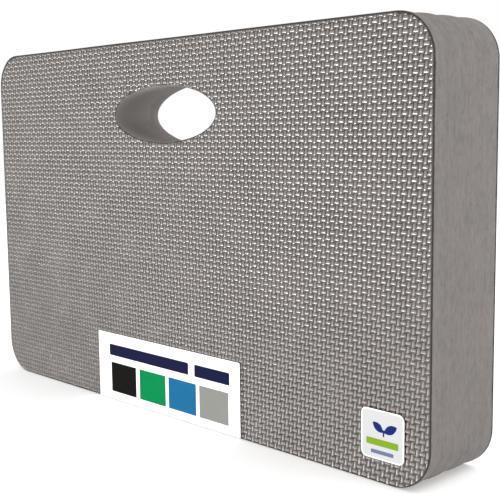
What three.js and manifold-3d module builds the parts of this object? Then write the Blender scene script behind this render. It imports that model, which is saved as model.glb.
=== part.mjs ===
// Kneeling pad: four sheets of closed-cell foam laminated into one thick block, with an oval
// hand hole near one long edge and two printed labels on the front face.
//
// Units are millimetres and +Z is up. The pad stands on a long edge: its length runs along X,
// its thickness along Y with the labelled front face towards -Y, and the hand hole is at the top.
// The origin is the middle of the edge that it stands on.

import * as THREE from 'three';
import { mergeVertices } from 'three/addons/utils/BufferGeometryUtils.js';
import Module from 'manifold-3d';

// Driving dimensions of the pad.
const LENGTH = 460;
const HEIGHT = 279;
const THICKNESS = 67;
const CORNER_RADIUS = 27;
const EDGE_ROUNDING = 1.5;

// The lamination: face sheet, core sheet, core sheet, face sheet, with a film in each joint.
const FACE_SHEET = 12;
const FILM = 0.5;
const FILM_INSET = 1.6;
const CORE_SHEET = (THICKNESS - 2 * FACE_SHEET - 3 * FILM) / 2;

// The hand hole is an ellipse that widens evenly from the front face to the back face.
const HOLE_CENTRE_X = -5;
const HOLE_CENTRE_Z = 225;
const HOLE_FRONT = { halfWidth: 56, halfHeight: 20 };
const HOLE_BACK = { halfWidth: 86, halfHeight: 26.5 };
const CUT_OVERRUN = 1;

// Printed labels on the front face, each by its size and the place of its lower left corner.
const LABEL_THICKNESS = 0.4;
const COLOUR_LABEL = { x: -91, z: 0.8, width: 164, height: 53.2, radius: 0.6 };
const CORNER_LABEL = { x: 180, z: 15, width: 32, height: 30.5, radius: 4 };

// Steps in a quarter turn of an outline, round the whole hole, and across a rounded edge.
const QUARTER_STEPS = 8;
const HOLE_STEPS = 56;
const EDGE_STEPS = 2;

const wasm = await Module();
wasm.setup();

const foam = new THREE.MeshStandardMaterial({ color: 0x8b8682, roughness: 0.85, metalness: 0 });
const embossedFoam = new THREE.MeshStandardMaterial({ color: 0x96918d, roughness: 0.55, metalness: 0 });
const glue = new THREE.MeshStandardMaterial({ color: 0x5d5854, roughness: 0.7, metalness: 0 });
const labelPaper = new THREE.MeshStandardMaterial({ color: 0xf4f5f6, roughness: 0.4, metalness: 0 });

// A rectangle with round corners whose lower left corner is at (x, y).
function roundedRectangle(x, y, width, height, radius) {
  const shape = new THREE.Shape();
  const right = x + width - radius;
  const top = y + height - radius;
  shape.absarc(right, y + radius, radius, -Math.PI / 2, 0);
  shape.absarc(right, top, radius, 0, Math.PI / 2);
  shape.absarc(x + radius, top, radius, Math.PI / 2, Math.PI);
  shape.absarc(x + radius, y + radius, radius, Math.PI, Math.PI * 1.5);
  shape.closePath();
  return shape;
}

// The pad's outline, drawn in by an inset all round.
function padOutline(inset) {
  const width = LENGTH - 2 * inset;
  const height = HEIGHT - 2 * inset;
  return roundedRectangle(-width / 2, inset, width, height, CORNER_RADIUS - inset);
}

function toManifold(geometry) {
  const bare = geometry.clone();
  bare.deleteAttribute('normal');
  bare.deleteAttribute('uv');
  const merged = mergeVertices(bare, 1e-4);
  const vertProperties = new Float32Array(merged.attributes.position.array);
  const triVerts = new Uint32Array(merged.index.array);
  return new wasm.Manifold(new wasm.Mesh({ numProp: 3, vertProperties, triVerts }));
}

function toGeometry(manifold) {
  const mesh = manifold.getMesh();
  const geometry = new THREE.BufferGeometry();
  geometry.setAttribute('position', new THREE.BufferAttribute(mesh.vertProperties, 3));
  geometry.setIndex(new THREE.BufferAttribute(mesh.triVerts, 1));
  geometry.computeVertexNormals();
  return geometry;
}

// The hand hole as a solid, for a layer whose back is `backDepth` behind the pad's front face.
// Local Z runs from the layer's back (0) to its front (thickness).
function holeCutter(backDepth, thickness, inset) {
  const length = thickness + 2 * CUT_OVERRUN;
  const cutter = new THREE.CylinderGeometry(1, 1, length, HOLE_STEPS);
  cutter.rotateX(Math.PI / 2);
  cutter.translate(0, 0, thickness / 2);
  const position = cutter.attributes.position;
  for (let i = 0; i < position.count; i += 1) {
    const along = (backDepth - position.getZ(i)) / THICKNESS;
    const halfWidth = THREE.MathUtils.lerp(HOLE_FRONT.halfWidth, HOLE_BACK.halfWidth, along);
    const halfHeight = THREE.MathUtils.lerp(HOLE_FRONT.halfHeight, HOLE_BACK.halfHeight, along);
    position.setX(i, HOLE_CENTRE_X + position.getX(i) * (halfWidth + inset));
    position.setY(i, HOLE_CENTRE_Z + position.getY(i) * (halfHeight + inset));
  }
  return cutter;
}

// One layer of the pad, built lying flat with its back at local Z = 0, then stood upright.
function padLayer({ name, thickness, front, inset, edge, material }) {
  const solid = new THREE.ExtrudeGeometry(padOutline(inset), {
    depth: thickness - 2 * edge,
    curveSegments: QUARTER_STEPS,
    bevelEnabled: edge > 0,
    bevelThickness: edge,
    bevelSize: edge,
    bevelOffset: -edge,
    bevelSegments: EDGE_STEPS,
  });
  solid.translate(0, 0, edge);
  const cutter = holeCutter(front + thickness, thickness, inset);
  const cut = toManifold(solid).subtract(toManifold(cutter));
  const mesh = new THREE.Mesh(toGeometry(cut), material);
  mesh.name = name;
  mesh.rotation.x = Math.PI / 2;
  mesh.position.y = front + thickness - THICKNESS / 2;
  return mesh;
}

// A thin printed label stuck on the front face.
function faceLabel(name, { x, z, width, height, radius }) {
  const solid = new THREE.ExtrudeGeometry(roundedRectangle(0, 0, width, height, radius), {
    depth: LABEL_THICKNESS,
    curveSegments: QUARTER_STEPS,
    bevelEnabled: false,
  });
  const mesh = new THREE.Mesh(solid, labelPaper);
  mesh.name = name;
  mesh.rotation.x = Math.PI / 2;
  mesh.position.set(x, -THICKNESS / 2, z);
  return mesh;
}

const faceSheet = { thickness: FACE_SHEET, inset: 0, edge: EDGE_ROUNDING, material: embossedFoam };
const coreSheet = { thickness: CORE_SHEET, inset: 0, edge: EDGE_ROUNDING, material: foam };
const glueFilm = { thickness: FILM, inset: FILM_INSET, edge: 0, material: glue };

// The layers in order from the front face to the back face.
const stack = [
  { name: 'front_face_sheet', ...faceSheet },
  { name: 'adhesive_film_front', ...glueFilm },
  { name: 'core_sheet_front', ...coreSheet },
  { name: 'adhesive_film_middle', ...glueFilm },
  { name: 'core_sheet_back', ...coreSheet },
  { name: 'adhesive_film_back', ...glueFilm },
  { name: 'back_face_sheet', ...faceSheet },
];

const block = new THREE.Group();
let front = 0;
for (const layer of stack) {
  block.add(padLayer({ ...layer, front }));
  front += layer.thickness;
}

const labels = new THREE.Group();
labels.add(faceLabel('colour_label', COLOUR_LABEL));
labels.add(faceLabel('corner_label', CORNER_LABEL));

const kneelingPad = new THREE.Group();
kneelingPad.name = 'kneeling_pad';
kneelingPad.add(block, labels);

export default kneelingPad;
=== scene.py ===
"""Looks of a foam kneeling pad: two embossed face sheets, two core sheets, glue films and labels.

Shapes are worked out in millimetres, in the frame's axes, and scaled to metres when a mesh is made.
A surface point is (x, z, depth), where depth is measured into the pad from the face it belongs to.
"""

import math

import bpy
import numpy as np
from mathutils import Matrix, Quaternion, Vector
from mathutils.geometry import delaunay_2d_cdt, tessellate_polygon


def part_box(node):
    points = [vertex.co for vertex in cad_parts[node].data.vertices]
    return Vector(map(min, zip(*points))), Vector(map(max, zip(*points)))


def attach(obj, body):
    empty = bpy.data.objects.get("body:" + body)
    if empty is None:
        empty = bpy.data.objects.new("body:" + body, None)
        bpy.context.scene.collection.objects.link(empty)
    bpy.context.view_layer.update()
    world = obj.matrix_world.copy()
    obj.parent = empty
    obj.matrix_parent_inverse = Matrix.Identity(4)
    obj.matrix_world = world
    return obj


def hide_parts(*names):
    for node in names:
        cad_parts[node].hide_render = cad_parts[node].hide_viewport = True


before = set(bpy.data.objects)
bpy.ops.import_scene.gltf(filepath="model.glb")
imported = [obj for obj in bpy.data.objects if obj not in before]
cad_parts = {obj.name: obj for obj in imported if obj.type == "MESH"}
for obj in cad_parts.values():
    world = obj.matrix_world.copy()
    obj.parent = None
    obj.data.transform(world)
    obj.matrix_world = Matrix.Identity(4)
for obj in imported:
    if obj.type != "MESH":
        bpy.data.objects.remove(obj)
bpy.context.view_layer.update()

MM = 0.001


def node_box(node):
    """A CAD node's lowest and highest corners in mm, to the nearest micrometre."""
    return [np.round(np.array(corner) / MM, 3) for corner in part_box(node)]


# The pad, from the CAD model's boxes.
FACE_LOW, FACE_HIGH = node_box("front_face_sheet")
FILM_LOW, FILM_HIGH = node_box("adhesive_film_front")
LENGTH = FACE_HIGH[0] - FACE_LOW[0]
HEIGHT = FACE_HIGH[2]
FRONT = FACE_LOW[1]
BACK = node_box("back_face_sheet")[1][1]
THICKNESS = BACK - FRONT
FACE_SHEET = FILM_LOW[1] - FRONT
FILM = FILM_HIGH[1] - FILM_LOW[1]
FILM_INSET = FILM_LOW[0] - FACE_LOW[0]
CORE_SHEET = (THICKNESS - 2 * FACE_SHEET - 3 * FILM) / 2

# What the boxes don't say: the corners, and the hand hole as half sizes in front and behind.
CORNER_RADIUS = 27.0
HOLE_CENTRE = np.array([-5.0, 225.0])
HOLE_FRONT = np.array([56.0, 20.0])
HOLE_BACK = np.array([86.0, 26.5])

# The embossed weave: strands lie over each other in turn, like the squares of a chessboard. The
# crests are places across a strand, and the falls are the even share of its height on each side.
# Each strand has STRAND_LINES grid lines: its two sides and its crest.
CELL = np.array([3.594, 3.770])
WEAVE_MIDDLE = np.array([1.6, 138.3])
STRAND_HALF_WIDTH = 1.294
LOWEST_STRAND = 0.86
RELIEF = 0.62
CREST_DEPTH = 0.05
STRAND_LINES = 3
UNEVENNESS = 0.04
FLAT_CREST = -0.3
UPRIGHT_CREST = -STRAND_HALF_WIDTH
FLAT_FALL = (0.45, 0.16)
UPRIGHT_FALL = (0.75, 0.20)
TWIST = 0.10
STEEPEST = np.array([0.7, 0.8])
PIT_SLOPE = 0.9

# The rims of an embossed face, where the weave is pressed down to the bottom of the gaps and
# takes their painted shade, a dark line round the face. It is pinched wider towards the top and
# the left, which paints that dark line wider there. SNAP is how near to a rim a point is moved onto
# it.
RIM_DEPTH = CREST_DEPTH + RELIEF
RIM_INSET = 0.9
RIM_OF_HOLE = 0.9
RIM_FADE = 0.45
RIM_SLOPE = 0.7
PINCH_SHADE_SIDE = np.array([-0.6, 0.8])
PINCH_SHADE = 2.2
PINCHED_SHUT = 0.5
SNAP = 0.22

# Where the embossing is lowered towards an even level, most at the lower left corner. Its shade
# tone follows that level, so the corner is painted darker, as shade, and its gaps less dark. The
# places are shares of the way from the face's middle to its sides, measured towards the corner
# direction below.
LOWERED_SHADE = 0.8
LOWERED_SHADE_LEVEL = 0.14
LOWERED_SHADE_CORNER = np.array([-0.8, -0.6])
LOWERED_SHADE_FROM = 0.15
LOWERED_SHADE_OVER = 0.75

# The cut edges. The sheets meet in the middle of each film, over its inset rim, and they are
# pulled in by JOINT_DIP there, along the pad's long edges.
JOINT = FILM / 2
JOINTS = [FACE_SHEET + JOINT, THICKNESS / 2, THICKNESS - FACE_SHEET - JOINT]
JOINT_INSET = 0.06
JOINT_BEVEL = 0.04
LIP = FILM_INSET - 0.05
HOLE_JOINT_INSET = 0.02
JOINT_DIP = 1.05
JOINT_REACH = 10.0
TRIM = 0.06
LONG_EDGE_TRIM = 0.15
FURROW = 0.035

# A core sheet's edge between its joints: where it starts, its rings and how hollow its ends are.
# OUTLINE_SPACING is just under 2, so that no straight side is a half number of spaces long.
WALL_START = 0.6
WALL_RINGS = 19
WALL_HOLLOW = 0.04
OUTLINE_SPACING = 1.998
HOLE_POINTS = 160

# Cross-sections of a face sheet's cut edges, as (inset into the foam, depth), from its face inwards.
FACE_EDGE = [
    (RIM_INSET, RIM_DEPTH),
    (0.30, RIM_DEPTH + 0.10),
    (0.10, RIM_DEPTH + 0.42),
    (0.36, 1.45),
    (0.07, 1.9),
    (0.0, 3.0),
    (0.0, 7.0),
    (0.0, 10.0),
    (0.0, 11.5),
    (JOINT_INSET, FACE_SHEET + JOINT - JOINT_BEVEL),
    (JOINT_INSET, FACE_SHEET + JOINT),
    (LIP, FACE_SHEET + JOINT),
    (FILM_INSET, FACE_SHEET),
]
FACE_HOLE_EDGE = [
    (RIM_OF_HOLE, RIM_DEPTH),
    (0.30, RIM_DEPTH + 0.12),
    (0.02, RIM_DEPTH + 0.60),
    (0.0, 2.0),
    (0.0, 7.0),
    (0.0, FACE_SHEET - 0.4),
    (HOLE_JOINT_INSET, FACE_SHEET + JOINT - JOINT_BEVEL),
    (HOLE_JOINT_INSET, FACE_SHEET + JOINT),
    (LIP, FACE_SHEET + JOINT),
    (FILM_INSET, FACE_SHEET),
]

# The material slots of a face sheet, and the shade tones of points off the weave: the materials
# paint a low tone darker, as shade, and a high one paler, as light. SHADED is the painted shade of
# the crevice round a face, and the hole's rim is painted darker too. In the hole the tone goes
# from the first to the second of the hole tones below: painted light, strongest near the pad's
# front face.
SKIN, CUT = 0, 1
SHADED, HOLE_RIM_SHADE, PLAIN = 0.0, 0.3, 0.5
HOLE_FADE = (34.0, 60.0)
HOLE_SHADE_TONES = (1.0, 0.55)


def smooth_step(value):
    """An even rise from 0 to 1 that starts and ends level."""
    value = np.clip(value, 0.0, 1.0)
    return value * value * (3 - 2 * value)


# ---------------------------------------------------------------- outlines

def outline_distance(points, inset):
    """Signed distance outside the pad's outline drawn in by inset, and its outward direction."""
    centre = np.array([0.0, HEIGHT / 2])
    straight = np.array([LENGTH / 2, HEIGHT / 2]) - CORNER_RADIUS
    side = np.where(points < centre, -1.0, 1.0)
    past = np.abs(points - centre) - straight
    beyond = np.maximum(past, 0.0)
    reach = np.hypot(beyond[:, 0], beyond[:, 1])
    distance = reach + np.minimum(past.max(1), 0.0) - (CORNER_RADIUS - inset)
    nearest = np.eye(2)[(past[:, 1] > past[:, 0]).astype(int)]
    in_corner = (past > 0).all(1)
    outward = np.where(in_corner[:, None], beyond / np.maximum(reach, 1e-9)[:, None], nearest)
    return distance, outward * side


def hole_half_size(behind):
    """Half width and half height of the hand hole at a distance behind the pad's front face."""
    return HOLE_FRONT + (HOLE_BACK - HOLE_FRONT) * behind / THICKNESS


def hole_turn(points, half):
    """Each point's direction from the hole's middle, in a frame where the hole is a unit circle."""
    scaled = (points - HOLE_CENTRE) / half
    radius = np.maximum(np.hypot(scaled[:, 0], scaled[:, 1]), 1e-6)
    return scaled / radius[:, None], radius


def hole_distance(points, half):
    """How far a point is inside the hole's edge, about. It is negative in the foam."""
    turn, radius = hole_turn(points, half)
    slope = np.hypot(turn[:, 0] / half[0], turn[:, 1] / half[1])
    return (1 - radius) / slope


def outside_face(points, half):
    """How far a point is outside the embossed face: past its rim or inside the hole."""
    return np.maximum(outline_distance(points, RIM_INSET)[0], hole_distance(points, half))


def onto_rim(points, half):
    """Moves points near the face's rim or the hole's rim exactly onto it."""
    outside, outward = outline_distance(points, RIM_INSET)
    on_hole = HOLE_CENTRE + hole_turn(points, half)[0] * half
    near_hole = np.abs(hole_distance(points, half)) < np.abs(outside)
    return np.where(near_hole[:, None], on_hole, points - outward * outside[:, None])


def rim_direction(points, half):
    """The direction out of the face at the nearest rim, the pad's own or the hole's."""
    outside, outward = outline_distance(points, RIM_INSET)
    near_hole = np.abs(hole_distance(points, half)) < np.abs(outside)
    return np.where(near_hole[:, None], -hole_turn(points, half)[0], outward)


def outline_loop(inset, spacing):
    """Points round the pad's outline drawn in by inset, anticlockwise."""
    radius = CORNER_RADIUS - inset
    half = np.array([LENGTH / 2, HEIGHT / 2]) - CORNER_RADIUS
    centre = np.array([0.0, HEIGHT / 2])
    steps = max(8, round(radius * math.pi / 2 / spacing))
    corners = []
    for k, signs in enumerate(((1, -1), (1, 1), (-1, 1), (-1, -1))):
        angles = math.pi / 2 * (k - 1 + np.arange(steps + 1) / steps)
        arc = np.column_stack([np.cos(angles), np.sin(angles)]) * radius
        corners.append(centre + half * np.array(signs) + arc)
    points = []
    for corner, after in zip(corners, corners[1:] + corners[:1]):
        gap = after[0] - corner[-1]
        count = max(1, round(np.hypot(*gap) / spacing))
        between = corner[-1] + gap * (np.arange(1, count) / count)[:, None]
        points += [corner, between]
    return np.vstack(points)


# ---------------------------------------------------------------- the embossed weave

def rounded(position, half_width, power):
    """Height from 1 in the middle to 0 at the sides of a strand, and the slope."""
    ratio = np.clip(position / half_width, -1.0, 1.0)
    height = 1 - np.abs(ratio) ** power
    slope = -power * np.abs(ratio) ** (power - 1) * np.sign(ratio) / half_width
    return height, slope


def leaning(position, half_width, crest, above, fall_above, fall_below):
    """Height with a crease at the crest: an even fall above it and a blunt nose below it.

    The two falls are how much of the height is lost evenly on each side. The rest is lost close
    to the ends.
    """
    reach = np.where(above, half_width - crest, half_width + crest)
    even = np.where(above, fall_above, fall_below)
    ratio = np.clip(np.abs(position - crest) / reach, 0.0, 1.0)
    height = 1 - even * ratio - (1 - even) * ratio ** 6
    slope = np.where(above, -1, 1) * (even + 6 * (1 - even) * ratio ** 5) / reach
    return height, slope


def strand(place, side, flat):
    """Height of a strand over the gaps, and its slopes in x and z.

    place is from the strand's middle, and side is a place on the same side of the crest.
    """
    x, z = place.T
    reach = CELL - STRAND_HALF_WIDTH
    flat_shape = (
        rounded(x, reach[0], 6),
        leaning(z, STRAND_HALF_WIDTH, FLAT_CREST, side > FLAT_CREST, *FLAT_FALL),
    )
    upright_shape = (
        rounded(x, STRAND_HALF_WIDTH, 3),
        leaning(z, reach[1], UPRIGHT_CREST, side > UPRIGHT_CREST, *UPRIGHT_FALL),
    )
    (height_x, slope_x), (height_z, slope_z) = (
        [np.where(flat, a, b) for a, b in zip(one, two)]
        for one, two in zip(flat_shape, upright_shape))
    twist = flat * TWIST
    height = np.maximum(height_x + height_z - 1 - twist * x * (z - FLAT_CREST), 0.0)
    slope_x = slope_x - twist * (z - FLAT_CREST)
    slope_z = slope_z - twist * x
    return RELIEF * height, RELIEF * slope_x, RELIEF * slope_z


def weave_lines(middle, length, pitch, crest):
    """The strands' middles in one direction, and grid lines at their two sides and crests."""
    count = math.ceil(length / 2 / pitch) + 1
    middles = middle + np.arange(-count, count + 1) * pitch
    lines = middles[:, None] + np.array([-STRAND_HALF_WIDTH, crest, STRAND_HALF_WIDTH])
    return middles, lines.ravel()


def undulation(points):
    """The slow unevenness of a foam face: a depth in mm, which is never above its true plane."""
    x, z = points[:, 0], points[:, 1]
    waves = ((0.041, 0.017, 0.4), (-0.023, 0.047, 2.1), (0.067, -0.039, 4.0), (0.012, 0.083, 1.2))
    return UNEVENNESS * (len(waves) + sum(np.sin(a * x + b * z + c) for a, b, c in waves))


def rim_fade(points, half):
    """From 0 at the face's rims to 1 inside; the pad's rim and its painted shade are wider at the top
    left.
    """
    outside, outward = outline_distance(points, RIM_INSET)
    pinch = PINCH_SHADE * np.maximum(outward @ PINCH_SHADE_SIDE, 0.0)
    inside = np.minimum(-outside / (RIM_FADE + pinch), -hole_distance(points, half) / RIM_FADE)
    return smooth_step(inside)


def lowered_shade(points):
    """How far the embossing is lowered to an even level, most at the lower left corner, with its
    painted shade.
    """
    share = (points / np.array([LENGTH / 2, HEIGHT / 2]) - np.array([0.0, 1.0])) @ LOWERED_SHADE_CORNER
    return LOWERED_SHADE * smooth_step((share - LOWERED_SHADE_FROM) / LOWERED_SHADE_OVER)


def strand_of(column, row, between_columns, between_rows):
    """Which strand a patch of the grid lies on, whether that strand lies flat, and the gaps.

    Between two columns the flat strand runs on, and between two rows the upright one does.
    """
    flat = (column + row) % 2 == 0
    column = column + (between_columns & ~between_rows & ~flat)
    row = row + (between_rows & ~between_columns & flat)
    flat = (column + row) % 2 == 0
    return column, row, flat, between_columns & between_rows


def clip_quads(points, outside, quads, half):
    """Cuts quads along the line where outside is zero. Returns all the points and the faces."""
    crossings = {}
    added = []
    faces = []
    for quad in quads.tolist():
        face = []
        for one, two in zip(quad, quad[1:] + quad[:1]):
            if outside[one] <= 0:
                face.append(one)
            if outside[one] * outside[two] < 0:
                key = (min(one, two), max(one, two))
                if key not in crossings:
                    share = outside[one] / (outside[one] - outside[two])
                    crossings[key] = len(points) + len(added)
                    added.append(points[one] + share * (points[two] - points[one]))
                face.append(crossings[key])
        faces.append(face)
    return np.vstack([points, onto_rim(np.array(added), half)]), faces


def boundary_loops(faces):
    """The closed loops of edges that only one face uses, each in its faces' direction."""
    edges = {(one, two) for f in faces for one, two in zip(f, f[1:] + f[:1])}
    following = {one: two for one, two in edges if (two, one) not in edges}
    loops = []
    while following:
        start = min(following)
        loop = [start]
        step = following.pop(start)
        while step != start:
            loop.append(step)
            step = following.pop(step)
        loops.append(loop)
    return loops


class Surface:
    """A mesh being made: points (x, z, depth), faces, a normal per face corner, slots, painted shade
    tones.
    """

    def __init__(self):
        self.points = np.zeros((0, 3))
        self.shade_tone = np.zeros(0)
        self.faces = []
        self.normals = []
        self.slots = []

    def add_points(self, points, shade_tone=PLAIN):
        start = len(self.points)
        self.points = np.vstack([self.points, points])
        self.shade_tone = np.append(self.shade_tone, np.broadcast_to(shade_tone, len(points)))
        return np.arange(start, len(self.points))

    def add_faces(self, faces, normals, slot):
        self.faces.extend(faces)
        self.normals.append(np.asarray(normals, float))
        self.slots.extend(np.broadcast_to(slot, len(faces)).tolist())


def add_weave(surface, half, rng):
    """Adds the embossed face, cut to the pad's outline and round a hole. Returns its two rims."""
    columns, x_lines = weave_lines(WEAVE_MIDDLE[0], LENGTH, CELL[0], 0.0)
    rows, z_lines = weave_lines(WEAVE_MIDDLE[1], HEIGHT, CELL[1], FLAT_CREST)
    wide, tall = len(x_lines), len(z_lines)
    points = np.stack(np.meshgrid(x_lines, z_lines, indexing="ij"), -1).reshape(-1, 2)
    outside = outside_face(points, half)
    near = np.abs(outside) < SNAP
    points[near] = onto_rim(points[near], half)
    outside[near] = 0.0

    a, b = (v.ravel() for v in np.meshgrid(np.arange(wide - 1), np.arange(tall - 1), indexing="ij"))
    quads = np.stack([a * tall + b, (a + 1) * tall + b, (a + 1) * tall + b + 1, a * tall + b + 1], 1)
    some_inside = (outside[quads] < 0).any(1)
    whole = np.flatnonzero(some_inside & (outside[quads] <= 0).all(1))
    cut = np.flatnonzero(some_inside & (outside[quads] > 0).any(1))
    points, cut_faces = clip_quads(points, outside, quads[cut], half)
    faces = quads[whole].tolist() + cut_faces
    patch = np.append(whole, cut).repeat([len(f) for f in faces])

    between_columns, between_rows = (v[patch] % STRAND_LINES == STRAND_LINES - 1 for v in (a, b))
    column, row, flat, gap = strand_of(
        a[patch] // STRAND_LINES, b[patch] // STRAND_LINES, between_columns, between_rows)
    corners = np.array([v for f in faces for v in f])
    place = points[corners] - np.column_stack([columns[column], rows[row]])
    tallness = rng.uniform(LOWEST_STRAND, 1.0, (len(columns), len(rows)))[column, row] * ~gap
    side = (z_lines[b[patch]] + z_lines[b[patch] + 1]) / 2 - rows[row]
    height, slope_x, slope_z = (v * tallness for v in strand(place, side, flat))

    used, corners = np.unique(corners, return_inverse=True)
    rise = np.zeros(len(used))
    np.maximum.at(rise, corners, height)
    points = points[used]
    fade = rim_fade(points, half)
    lowered = lowered_shade(points)
    level = fade * (rise + lowered * (LOWERED_SHADE_LEVEL * RELIEF - rise))
    depth = CREST_DEPTH + RELIEF - level + fade * undulation(points)
    # Each point's share of the full relief becomes its shade tone, painted darker where it is low.
    index = surface.add_points(np.column_stack([points, depth]), level / RELIEF)

    in_pit = place - CELL / 2
    slopes = np.clip(np.column_stack([slope_x, slope_z]), -STEEPEST, STEEPEST)
    slopes = np.where(gap[:, None], PIT_SLOPE * np.sign(in_pit), slopes)
    share = fade[corners][:, None]
    slopes = share * slopes - (1 - share) * RIM_SLOPE * rim_direction(points, half)[corners]
    sizes = np.array([len(f) for f in faces])
    starts = np.cumsum(sizes) - sizes
    faces = [f.tolist() for f in np.split(index[corners], starts[1:])]
    slots = np.where(np.add.reduceat(fade[corners], starts) < PINCHED_SHUT * sizes, CUT, SKIN)
    surface.add_faces(faces, np.column_stack([-slopes, -np.ones(len(corners))]), slots)
    return sorted(boundary_loops(faces), key=lambda loop: -np.ptp(surface.points[loop, 0]))


# ---------------------------------------------------------------- cut edges

def grid_normals(grid, outward):
    """Normals of a band of rings, grid[ring, point], facing outward at its middle ring."""
    around = np.roll(grid, -1, 1) - np.roll(grid, 1, 1)
    inward = np.gradient(grid, axis=0)
    normals = np.cross(around, inward)
    normals /= np.maximum(np.linalg.norm(normals, axis=2), 1e-12)[:, :, None]
    facing = (normals[len(grid) // 2, :, :2] * outward).sum()
    return normals if facing > 0 else -normals


def add_rings(surface, loop, rings, outward, slot, shade_tones):
    """Joins a loop to rings with as many points each, and returns the last ring's points."""
    grid = np.stack([surface.points[loop]] + rings)
    normals = grid_normals(grid, outward)
    after = np.roll(np.arange(len(loop)), -1)
    last = np.array(loop)
    for k, (ring, shade_tone) in enumerate(zip(rings, shade_tones)):
        index = surface.add_points(ring, shade_tone)
        faces = np.stack([last[after], last, index, index[after]], 1)
        one, two = normals[k], normals[k + 1]
        corners = np.stack([one[after], one, two, two[after]], 1)
        surface.add_faces(faces.tolist(), corners.reshape(-1, 3), slot)
        last = index
    return last


def slow_waves(points, seed, spread):
    """A smooth random height over the pad's plane, from -1 to 1."""
    rng = np.random.default_rng(seed)
    waves = rng.uniform(-spread, spread, (6, 2))
    phases = rng.uniform(0, 2 * math.pi, 6)
    return sum(np.sin(points @ wave + phase) for wave, phase in zip(waves, phases)) / 6


def cut_ripple(points, behind, seed):
    """The faint furrows that a blade leaves along a cut edge, in mm, for one ring."""
    deep = behind * np.array([1.9, 1.1, 0.63]) + seed
    drift = slow_waves(points, seed + 50, 0.03) * 3
    return FURROW * sum(np.sin(d + drift * (k + 1)) for k, d in enumerate(deep)) / len(deep)


def joint_dip(behind):
    """How far the long edges are pulled in at a distance behind the pad's front face."""
    nearest = min(abs(behind - joint) for joint in JOINTS)
    return JOINT_DIP * max(0.0, 1 - nearest / JOINT_REACH) ** 2


def outline_rings(start, profile, behind, seed):
    """Rings round the pad's outline, from points on it drawn in by the profile's first inset.

    The first and last rings settle onto what the profile says. The others are drawn in further.
    """
    _, outward = outline_distance(start, 0.0)
    long_edge = np.abs(outward[:, 1])
    short = (TRIM + LONG_EDGE_TRIM * long_edge) * (1 + slow_waves(start, seed, 0.06))
    rings = []
    for k, (inset, depth) in enumerate(profile[1:], 1):
        settle = min(k, len(profile) - 1 - k, 2) / 2
        place = behind(depth)
        dip = joint_dip(place) * long_edge
        drawn_in = inset + settle * (short + dip + FURROW + cut_ripple(start, place, seed))
        rings.append(np.column_stack([
            start + outward * (profile[0][0] - drawn_in)[:, None],
            np.full(len(start), depth),
        ]))
    return rings, outward


def hole_rings(start, profile, behind):
    """Rings down the hand hole, which widens evenly towards the back of the pad."""
    turn, _ = hole_turn(start, hole_half_size(behind(profile[0][1])) + profile[0][0])
    rings = []
    for inset, depth in profile[1:]:
        half = hole_half_size(behind(depth)) + inset
        rings.append(np.column_stack([HOLE_CENTRE + turn * half, np.full(len(start), depth)]))
    return rings, -turn


def hole_shade_tone(behind):
    """The shade tone of a ring of the hole: painted light, paler near the pad's front face."""
    return float(np.interp(behind, HOLE_FADE, HOLE_SHADE_TONES))


def add_cap(surface, outer, hole, sign, slot):
    """Closes a sheet with a flat face between its outline and the hole. sign is along depth."""
    index = list(outer) + list(hole)
    flat = surface.points[:, :2]
    loops = [[Vector((*flat[v], 0.0)) for v in loop] for loop in (outer, hole) if len(loop)]
    faces = []
    for triangle in tessellate_polygon(loops):
        one, two, three = (int(index[v]) for v in triangle)
        turn = np.cross(flat[two] - flat[one], flat[three] - flat[one])
        faces.append([one, two, three] if turn * sign < 0 else [one, three, two])
    surface.add_faces(faces, np.tile([0.0, 0.0, float(sign)], (3 * len(faces), 1)), slot)


# ---------------------------------------------------------------- meshes

def make_piece(name, surface, plane, into, materials):
    """Makes the object. into is +1 where depth runs along +Y and -1 where it runs along -Y."""
    x, z, depth = surface.points.T
    mesh = bpy.data.meshes.new(name)
    faces = surface.faces if into > 0 else [f[::-1] for f in surface.faces]
    mesh.from_pydata((np.column_stack([x, plane + into * depth, z]) * MM).tolist(), [], faces)
    mesh.polygons.foreach_set("use_smooth", [True] * len(faces))
    mesh.polygons.foreach_set("material_index", surface.slots)
    # The shade tone goes to the materials, which paint shade and light from it.
    shade_tone = mesh.attributes.new("shade_tone", "FLOAT", "POINT")
    shade_tone.data.foreach_set("value", surface.shade_tone.astype(np.float32))
    for material in materials:
        mesh.materials.append(material)
    normals = np.vstack(surface.normals)[:, [0, 2, 1]] * np.array([1, into, 1])
    normals /= np.linalg.norm(normals, axis=1)[:, None]
    if into < 0:
        normals = normals[reversed_corners(faces)]
    mesh.normals_split_custom_set(normals.tolist())
    piece = bpy.data.objects.new(name, mesh)
    bpy.context.scene.collection.objects.link(piece)
    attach(piece, "root")
    return piece


def reversed_corners(faces):
    """Where each face corner's value is once every face has been turned over."""
    sizes = np.array([len(f) for f in faces])
    starts = np.cumsum(sizes) - sizes
    within = np.arange(sizes.sum()) - starts.repeat(sizes)
    return (starts + sizes - 1).repeat(sizes) - within


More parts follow.
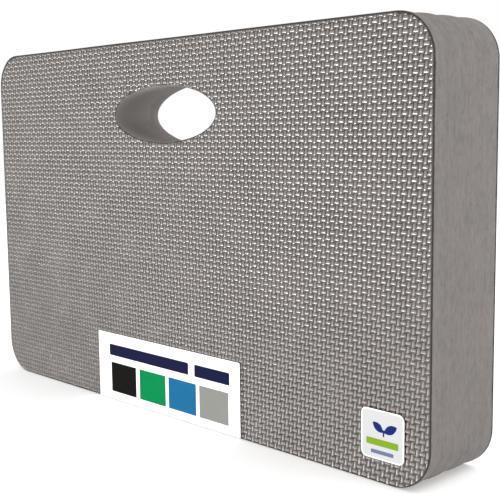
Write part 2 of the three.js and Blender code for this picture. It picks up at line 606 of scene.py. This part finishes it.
def face_sheet(name, plane, into, materials, seed, shaded_rings):
    """An embossed sheet. Its depth runs from its own face into the pad, along +Y if into is 1."""
    start = 0.0 if into > 0 else THICKNESS

    def behind(depth):
        return start + into * depth

    surface = Surface()
    half = hole_half_size(behind(RIM_DEPTH)) + RIM_OF_HOLE
    outer, hole = add_weave(surface, half, np.random.default_rng(seed))
    rings, outward = outline_rings(surface.points[outer, :2], FACE_EDGE, behind, seed)
    tones = [SHADED] * shaded_rings + [PLAIN] * (len(rings) - shaded_rings)
    outer_end = add_rings(surface, outer, rings, outward, CUT, tones)
    rings, outward = hole_rings(surface.points[hole, :2], FACE_HOLE_EDGE, behind)
    tones = [HOLE_RIM_SHADE] + [hole_shade_tone(behind(depth)) for _, depth in FACE_HOLE_EDGE[2:]]
    hole_end = add_rings(surface, hole, rings, outward, CUT, tones)
    add_cap(surface, outer_end, hole_end, 1, CUT)
    piece = make_piece(name, surface, plane, into, materials)
    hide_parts(name.replace("_look", ""))
    return piece


def core_edge(front, back, deepest):
    """Cross-section of a core sheet's cut edge. Up to its lips it's drawn in by deepest at most."""
    wall = np.linspace(front + WALL_START, back - WALL_START, WALL_RINGS)
    hollow = WALL_HOLLOW - WALL_HOLLOW * np.sin(np.linspace(0, math.pi, WALL_RINGS))
    return [
        (FILM_INSET, front),
        (LIP, front - JOINT),
        (deepest, front - JOINT),
        (deepest, front - JOINT + JOINT_BEVEL),
        *zip(np.minimum(hollow, deepest), wall),
        (deepest, back + JOINT - JOINT_BEVEL),
        (deepest, back + JOINT),
        (LIP, back + JOINT),
        (FILM_INSET, back),
    ]


def as_it_is(depth):
    """A core sheet's depths already run from the pad's front face."""
    return depth


def core_sheet(name, front, materials, seed):
    """A plain sheet between two glue films. Its depth runs from the pad's front face."""
    back = front + CORE_SHEET
    surface = Surface()

    outer = outline_loop(FILM_INSET, OUTLINE_SPACING)
    outer_start = surface.add_points(np.column_stack([outer, np.full(len(outer), front)]))
    rings, outward = outline_rings(outer, core_edge(front, back, JOINT_INSET), as_it_is, seed)
    outer_end = add_rings(surface, outer_start, rings, outward, 0, [PLAIN] * len(rings))

    edge = core_edge(front, back, HOLE_JOINT_INSET)
    angles = -np.linspace(0, 2 * math.pi, HOLE_POINTS, endpoint=False)
    turn = np.column_stack([np.cos(angles), np.sin(angles)])
    hole = HOLE_CENTRE + turn * (hole_half_size(front) + FILM_INSET)
    hole_start = surface.add_points(np.column_stack([hole, np.full(len(hole), front)]))
    rings, outward = hole_rings(hole, edge, as_it_is)
    tones = [hole_shade_tone(depth) for _, depth in edge[1:]]
    hole_end = add_rings(surface, hole_start, rings, outward, 0, tones)

    add_cap(surface, outer_start, hole_start, -1, 0)
    add_cap(surface, outer_end, hole_end, 1, 0)
    piece = make_piece(name, surface, FRONT, 1, materials)
    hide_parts(name.replace("_look", ""))
    return piece


# ---------------------------------------------------------------- printed labels

# A label's edge, from its face inwards: how far it stands out round the face, and the depth.
LABEL_THICKNESS = FRONT - node_box("colour_label")[0][1]
LABEL_EDGE = ((0.05, 0.02 - LABEL_THICKNESS), (0.08, 0.08 - LABEL_THICKNESS), (0.08, 0.0))
SAME_POINT = 1e-5


def rounded_rectangle(x, z, width, height, radius, steps=6):
    """Points of a rectangle with round corners, anticlockwise from its lower left corner's place."""
    points = []
    for k, (right, top) in enumerate(((1, 0), (1, 1), (0, 1), (0, 0))):
        centre_x = x + radius + right * (width - 2 * radius)
        centre_z = z + radius + top * (height - 2 * radius)
        for step in range(steps + 1):
            angle = math.pi / 2 * (k - 1 + step / steps)
            points.append((
                centre_x + radius * math.cos(angle),
                centre_z + radius * math.sin(angle),
            ))
    return points


def label_outline(node, radius, steps=6):
    """Points round a label, as its CAD node has it."""
    low, high = node_box(node)
    return rounded_rectangle(low[0], low[2], high[0] - low[0], high[2] - low[2], radius, steps)


def leaf(x, z, length, width, angle, steps=10):
    """Points of a pointed leaf that starts at (x, z) and grows at an angle in degrees."""
    cos, sin = math.cos(math.radians(angle)), math.sin(math.radians(angle))
    upper = [(t, math.sin(math.pi * t) ** 0.8) for t in np.linspace(0, 1, steps + 1)]
    lower = [(t, -h) for t, h in upper[-2:0:-1]]
    shape = [(t * length, h * width / 2) for t, h in upper + lower]
    points = [(x + u * cos - v * sin, z + u * sin + v * cos) for u, v in shape]
    turned = sum(p[0] * q[1] - p[1] * q[0] for p, q in zip(points, points[1:] + points[:1]))
    return points if turned > 0 else points[::-1]


def divided(shapes):
    """Cuts the first shape along the others: the points, the faces and the shapes each face is in."""
    coordinates = [Vector(point) for shape in shapes for point in shape]
    starts = np.cumsum([0] + [len(shape) for shape in shapes])
    loops = [list(range(one, two)) for one, two in zip(starts, starts[1:])]
    inside_only = 1
    made = delaunay_2d_cdt(coordinates, [], loops, inside_only, SAME_POINT, True)
    points, faces, sources = made[0], made[2], made[5]
    return np.array([tuple(point) for point in points]), faces, sources


def printed_label(name, outline, prints, materials):
    """A thin plate whose face is divided into its printed shapes. Later prints lie over earlier ones.

    Each of prints is (points, slot), and slot 0 is the plate's own.
    """
    slots = [0] + [slot for _, slot in prints]
    flat, faces, sources = divided([outline] + [points for points, _ in prints])
    surface = Surface()
    index = surface.add_points(np.column_stack([flat, np.full(len(flat), -LABEL_THICKNESS)]))
    towards_front = [[0.0, 0.0, -1.0]] * 3
    for face, source in zip(faces, sources):
        surface.add_faces([[int(index[v]) for v in face]], towards_front, slots[max(source)])
    rim = boundary_loops(surface.faces)[0]
    start = surface.points[rim, :2]
    along = np.roll(start, -1, 0) - np.roll(start, 1, 0)
    outward = np.column_stack([along[:, 1], -along[:, 0]])
    outward /= np.linalg.norm(outward, axis=1)[:, None]
    rings = [
        np.column_stack([start + outward * out, np.full(len(start), depth)])
        for out, depth in LABEL_EDGE
    ]
    end = add_rings(surface, rim, rings, outward, 0, [PLAIN] * len(rings))
    add_cap(surface, end, [], 1, 0)
    piece = make_piece(name, surface, FRONT, 1, materials)
    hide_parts(name.replace("_look", ""))
    return piece


# ---------------------------------------------------------------- materials

class Shading:
    """A material whose colour comes from one tone, which runs from 0 to 1 along a colour ramp."""

    def __init__(self, name, ramp, **settings):
        self.material = bpy.data.materials.new(name)
        self.material.use_nodes = True
        self.tree = self.material.node_tree
        self.shader = self.tree.nodes["Principled BSDF"]
        self.coordinates = self.tree.nodes.new("ShaderNodeTexCoord").outputs["Object"]
        self.ramp = self.tree.nodes.new("ShaderNodeValToRGB")
        elements = self.ramp.color_ramp.elements
        while len(elements) < len(ramp):
            elements.new(0.5)
        for element, (position, colour) in zip(elements, ramp):
            element.position = position
            element.color = (*colour, 1.0)
        self.link(self.ramp.outputs["Color"], self.shader.inputs["Base Color"])
        for socket, value in settings.items():
            self.shader.inputs[socket.replace("_", " ")].default_value = value

    def link(self, output, target):
        self.tree.links.new(output, target)

    def noise(self, scale, detail=2.0, stretch=(1.0, 1.0, 1.0)):
        """Noise from 0 to 1. scale is in waves a metre, and stretch squeezes it along an axis."""
        mapping = self.tree.nodes.new("ShaderNodeMapping")
        mapping.inputs["Scale"].default_value = stretch
        node = self.tree.nodes.new("ShaderNodeTexNoise")
        node.inputs["Scale"].default_value = scale
        node.inputs["Detail"].default_value = detail
        self.link(self.coordinates, mapping.inputs["Vector"])
        self.link(mapping.outputs["Vector"], node.inputs["Vector"])
        return node.outputs["Fac"]

    def cells(self, scale):
        """Distance to the nearest of many scattered points, from 0 at a point."""
        node = self.tree.nodes.new("ShaderNodeTexVoronoi")
        node.inputs["Scale"].default_value = scale
        self.link(self.coordinates, node.inputs["Vector"])
        return node.outputs["Distance"]

    # The shade tone of each point, which the materials paint as shade when low and as light when
    # high.
    def shade_tone(self):
        node = self.tree.nodes.new("ShaderNodeAttribute")
        node.attribute_name = "shade_tone"
        return node.outputs["Fac"]

    def total(self, base, *terms):
        """base plus each term's output times its weight, taken about the output's middle, 0.5."""
        last = base - 0.5 * sum(weight for _, weight in terms)
        for output, weight in terms:
            node = self.tree.nodes.new("ShaderNodeMath")
            node.operation = "MULTIPLY_ADD"
            self.link(output, node.inputs[0])
            node.inputs[1].default_value = weight
            if isinstance(last, float):
                node.inputs[2].default_value = last
            else:
                self.link(last, node.inputs[2])
            last = node.outputs[0]
        return last

    def colour(self, base, *terms):
        self.link(self.total(base, *terms), self.ramp.inputs["Fac"])

    def roughness(self, base, *terms):
        self.link(self.total(base, *terms), self.shader.inputs["Roughness"])

    def bump(self, height, distance, strength):
        node = self.tree.nodes.new("ShaderNodeBump")
        node.inputs["Strength"].default_value = strength
        node.inputs["Distance"].default_value = distance
        self.link(height, node.inputs["Height"])
        self.link(node.outputs["Normal"], self.shader.inputs["Normal"])


def tinted(value, tint=(1.07, 0.985, 0.94)):
    """A warm grey of about that brightness."""
    return tuple(value * share for share in tint)


def skin_material():
    """The embossed face: glossy strands, with the gaps between them and low ground painted dark as
    shade.
    """
    warm = (1.14, 0.98, 0.89)
    ramp = [
        (0.12, tinted(0.006, warm)),
        (0.32, tinted(0.12, warm)),
        (0.6, tinted(0.16, warm)),
        (1.0, tinted(0.182, warm)),
    ]
    shading = Shading("embossed_skin", ramp, Specular_IOR_Level=1.0)
    mottle = shading.noise(30.0, 4.0)
    grain = shading.noise(1700.0, 2.0)
    # Painted shade: the lower a point's shade tone, the darker the skin.
    shading.colour(0.45, (shading.shade_tone(), 0.62), (mottle, 0.12), (grain, 0.16))
    shading.roughness(0.26, (mottle, 0.06), (grain, 0.08))
    shading.bump(grain, 0.00006, 0.35)
    return shading.material


def cut_foam_material(name, body):
    """Foam cut with a blade: matt, with fine cells and faint furrows along the cut.

    body is the brightness of the plain foam.
    """
    # The dark and pale ends of this ramp are painted shade and painted light, reached through the
    # shade tone.
    ramp = [
        (0.0, tinted(body * 0.2)),
        (0.3, tinted(body * 0.85)),
        (0.5, tinted(body)),
        (0.75, tinted(body * 1.15)),
        (0.9, tinted(body * 1.5)),
    ]
    shading = Shading(name, ramp, Specular_IOR_Level=0.25)
    furrows = shading.noise(1.0, 3.0, (9.0, 330.0, 9.0))
    mottle = shading.noise(55.0, 4.0)
    blotches = shading.noise(260.0, 3.0, (1.0, 1.6, 0.7))
    grain = shading.noise(950.0, 3.0)
    cells = shading.cells(1300.0)
    # The shade tone paints the shaded rims dark and the hand hole paler, as light.
    shading.colour(
        0.5,
        (shading.shade_tone(), 1.3),
        (furrows, 0.34),
        (mottle, 0.30),
        (blotches, 0.75),
        (grain, 0.42),
        (cells, 0.12),
    )
    shading.roughness(0.88, (grain, 0.16))
    height = shading.total(0.5, (grain, 0.6), (cells, 0.5), (furrows, 0.8))
    shading.bump(height, 0.00022, 0.5)
    return shading.material


def glue_material():
    """Set contact glue: darker and a little shinier than the foam, with bubbles in it."""
    shading = Shading("set_glue", [(0.0, tinted(0.05)), (1.0, tinted(0.14))], Roughness=0.6)
    bubbles = shading.cells(900.0)
    shading.colour(0.5, (shading.noise(160.0, 3.0), 0.8), (bubbles, 0.4))
    shading.bump(bubbles, 0.0001, 0.4)
    return shading.material


def print_material(name, colour, spread=0.06):
    """Printed paper: matt ink over faint fibres. spread is how much its colour varies each way."""
    light = tuple(min(1.0, value * (1 + spread)) for value in colour)
    dark = tuple(value * (1 - spread) for value in colour)
    shading = Shading(name, [(0.0, dark), (1.0, light)], Specular_IOR_Level=0.03)
    fibres = shading.noise(420.0, 4.0, (1.0, 1.0, 2.2))
    cloud = shading.noise(35.0, 2.0)
    shading.colour(0.5, (fibres, 0.7), (cloud, 0.5))
    shading.roughness(0.78, (fibres, 0.12))
    shading.bump(fibres, 0.00003, 0.3)
    return shading.material


# ---------------------------------------------------------------- the pad

# How many rings of a face sheet's edge lie in the crevice round its face, painted dark as shade.
FRONT_SHADED_RINGS, BACK_SHADED_RINGS = 3, 4

SKIN_FOAM = skin_material()
FACE_CUT_FOAM = cut_foam_material("cut_face_foam", 0.180)
CORE_FOAM = cut_foam_material("cut_core_foam", 0.175)
GLUE = glue_material()
WHITE = print_material("label_white", (0.86, 0.88, 0.90), 0.015)

FACE_MATERIALS = [SKIN_FOAM, FACE_CUT_FOAM]
face_sheet("front_face_sheet_look", FRONT, 1, FACE_MATERIALS, 3, FRONT_SHADED_RINGS)
face_sheet("back_face_sheet_look", BACK, -1, FACE_MATERIALS, 4, BACK_SHADED_RINGS)
core_sheet("core_sheet_front_look", FACE_SHEET + FILM, [CORE_FOAM], 5)
core_sheet("core_sheet_back_look", FACE_SHEET + 2 * FILM + CORE_SHEET, [CORE_FOAM], 6)
for node_name in ("adhesive_film_front", "adhesive_film_middle", "adhesive_film_back"):
    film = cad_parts[node_name]
    film.data.materials.clear()
    film.data.materials.append(GLUE)

# The wide label: two bars where a name would be, over four colour samples. A bar or a sample is its
# left side and its width.
BARS = ((-76.7, 95.7), (25.7, 37.1))
BAR_LOW, BAR_TALL, BAR_RADIUS = 36.2, 9.0, 1.2
SAMPLES = ((-74.8, 31.6), (-38.8, 31.3), (-3.9, 31.0), (30.7, 30.7))
SAMPLE_LOW, SAMPLE_TALL, SAMPLE_RADIUS = 7.0, 23.7, 0.3
NAVY = print_material("ink_navy", (0.006, 0.008, 0.035))
BLACK = print_material("ink_black", (0.005, 0.0045, 0.004))
GREEN = print_material("ink_green", (0.001, 0.182, 0.054))
BLUE = print_material("ink_blue", (0.010, 0.106, 0.232))
GREY = print_material("ink_grey", (0.202, 0.204, 0.188))
bars = [(rounded_rectangle(x, BAR_LOW, width, BAR_TALL, BAR_RADIUS), 1) for x, width in BARS]
samples = [
    (rounded_rectangle(x, SAMPLE_LOW, width, SAMPLE_TALL, SAMPLE_RADIUS), slot)
    for slot, (x, width) in enumerate(SAMPLES, 2)
]
printed_label(
    "colour_label_look",
    label_outline("colour_label", 0.6, 3),
    bars + samples,
    [WHITE, NAVY, BLACK, GREEN, BLUE, GREY],
)

# The corner label: a sprout of two leaves over two bars, on a pale panel. The white border round
# the panel is a painted highlight along the label's edge. A rectangle here is its left side, its
# lower side, its width, its height and its corner radius.
LEAF_BLUE = print_material("ink_leaf_blue", (0.009, 0.018, 0.12))
LIME = print_material("ink_lime", (0.16, 0.27, 0.015))
PALE_BLUE = print_material("ink_pale_blue", (0.11, 0.14, 0.22))
PALE = print_material("label_pale", (0.465, 0.475, 0.475), 0.03)
panel = rounded_rectangle(180.7, 15.7, 30.6, 29.1, 3.4)
right_leaf = leaf(197.2, 32.2, 11.0, 5.4, 28)
left_leaf = leaf(196.8, 32.2, 9.6, 5.0, 146)
stem = rounded_rectangle(196.4, 29.6, 1.2, 4.2, 0.5, 3)
wide_bar = rounded_rectangle(184.0, 23.4, 24.0, 4.2, 0.8)
narrow_bar = rounded_rectangle(187.5, 18.3, 17.0, 2.4, 0.6)
printed_label(
    "corner_label_look",
    label_outline("corner_label", 4),
    [(panel, 1), (right_leaf, 2), (left_leaf, 2), (stem, 2), (wide_bar, 3), (narrow_bar, 4)],
    [WHITE, PALE, LEAF_BLUE, LIME, PALE_BLUE],
)

# ---------------------------------------------------------------- floor, light and camera

# From here on, places and sizes are in metres. The camera's lens is in mm.
FLOOR_REACH = 2.0
FLOOR_GLOW = 0.27
CAMERA_PLACE = (0.5511, -0.4894, 0.2146)
CAMERA_YAW = math.radians(-47.136)
CAMERA_PITCH = math.radians(-7.091)
CAMERA_ROLL = math.radians(-0.864)
CAMERA_LENS = 70.848
CAMERA_SHIFT = 0.05


def in_scene(name, data):
    """Makes an object of some data and puts it in the scene."""
    made = bpy.data.objects.new(name, data)
    bpy.context.scene.collection.objects.link(made)
    return made


def pale_floor():
    """A square floor that glows a little, so that it comes out near white."""
    shading = Shading(
        "pale_floor",
        [(0.0, (0.93, 0.93, 0.93)), (1.0, (0.96, 0.96, 0.96))],
        Roughness=0.9,
        Specular_IOR_Level=0.1,
        Emission_Strength=FLOOR_GLOW,
    )
    shading.shader.inputs["Emission Color"].default_value = (1.0, 1.0, 1.0, 1.0)
    shading.colour(0.5, (shading.noise(2.0, 3.0), 1.0))
    mesh = bpy.data.meshes.new("floor")
    signs = ((-1, -1), (1, -1), (1, 1), (-1, 1))
    corners = [(x * FLOOR_REACH, y * FLOOR_REACH, 0.0) for x, y in signs]
    mesh.from_pydata(corners, [], [(0, 1, 2, 3)])
    mesh.materials.append(shading.material)
    made = in_scene("floor", mesh)
    return made


def softbox(name, place, target, size, watts, beam=180.0):
    """A rectangular lamp, size (across, up), that faces its target. beam is its width in degrees."""
    light = bpy.data.lights.new(name, "AREA")
    light.shape = "RECTANGLE"
    light.size, light.size_y = size
    light.energy = watts
    light.spread = math.radians(beam)
    lamp = in_scene(name, light)
    lamp.location = place
    lamp.rotation_euler = (Vector(target) - Vector(place)).to_track_quat("-Z", "Y").to_euler()
    return lamp


def shine_through(lamps, obstacle):
    """Lets the lamps' light pass an object as if it weren't there."""
    let_through = bpy.data.collections.new("let_through")
    let_through.objects.link(obstacle)
    let_through.collection_objects[0].light_linking.link_state = "EXCLUDE"
    for lamp in lamps:
        lamp.light_linking.blocker_collection = let_through


def white_world():
    """An even white studio all round."""
    world = bpy.data.worlds.new("white_studio")
    world.use_nodes = True
    background = world.node_tree.nodes["Background"]
    background.inputs["Color"].default_value = (1.0, 1.0, 1.0, 1.0)
    background.inputs["Strength"].default_value = 1.0
    return world


def photo_camera():
    """The camera. Its yaw is from +Y, its pitch is up from level and it rolls about its own axis."""
    lens = bpy.data.cameras.new("camera")
    lens.sensor_width = 36.0
    lens.lens = CAMERA_LENS
    lens.shift_x = CAMERA_SHIFT
    lens.clip_start = 0.01
    facing = Vector((
        math.sin(CAMERA_YAW) * math.cos(CAMERA_PITCH),
        math.cos(CAMERA_YAW) * math.cos(CAMERA_PITCH),
        math.sin(CAMERA_PITCH),
    ))
    turned = facing.to_track_quat("-Z", "Y") @ Quaternion((0.0, 0.0, 1.0), CAMERA_ROLL)
    made = in_scene("camera", lens)
    made.location = CAMERA_PLACE
    made.rotation_euler = turned.to_euler()
    return made


floor = pale_floor()

# Two lamps with narrow beams rake up across the embossing from below the floor's level, and a
# fill lamp over the back right corner lightens the floor there.
low_front = softbox("low_front", (-1.28, -1.76, -0.68), (0.22, 0.0, 0.19), (0.55, 0.32), 1.30, 24.0)
low_left = softbox("low_left", (-1.55, -0.83, -0.25), (-0.10, 0.0, 0.32), (0.5, 0.3), 0.17, 26.0)
shine_through([low_front, low_left], floor)
softbox("back_fill", (0.85, 0.25, 1.1), (0.2, 0.0, 0.0), (0.6, 0.6), 4.2)

bpy.context.scene.world = white_world()
bpy.context.scene.camera = photo_camera()
bpy.context.scene.view_settings.view_transform = "Standard"
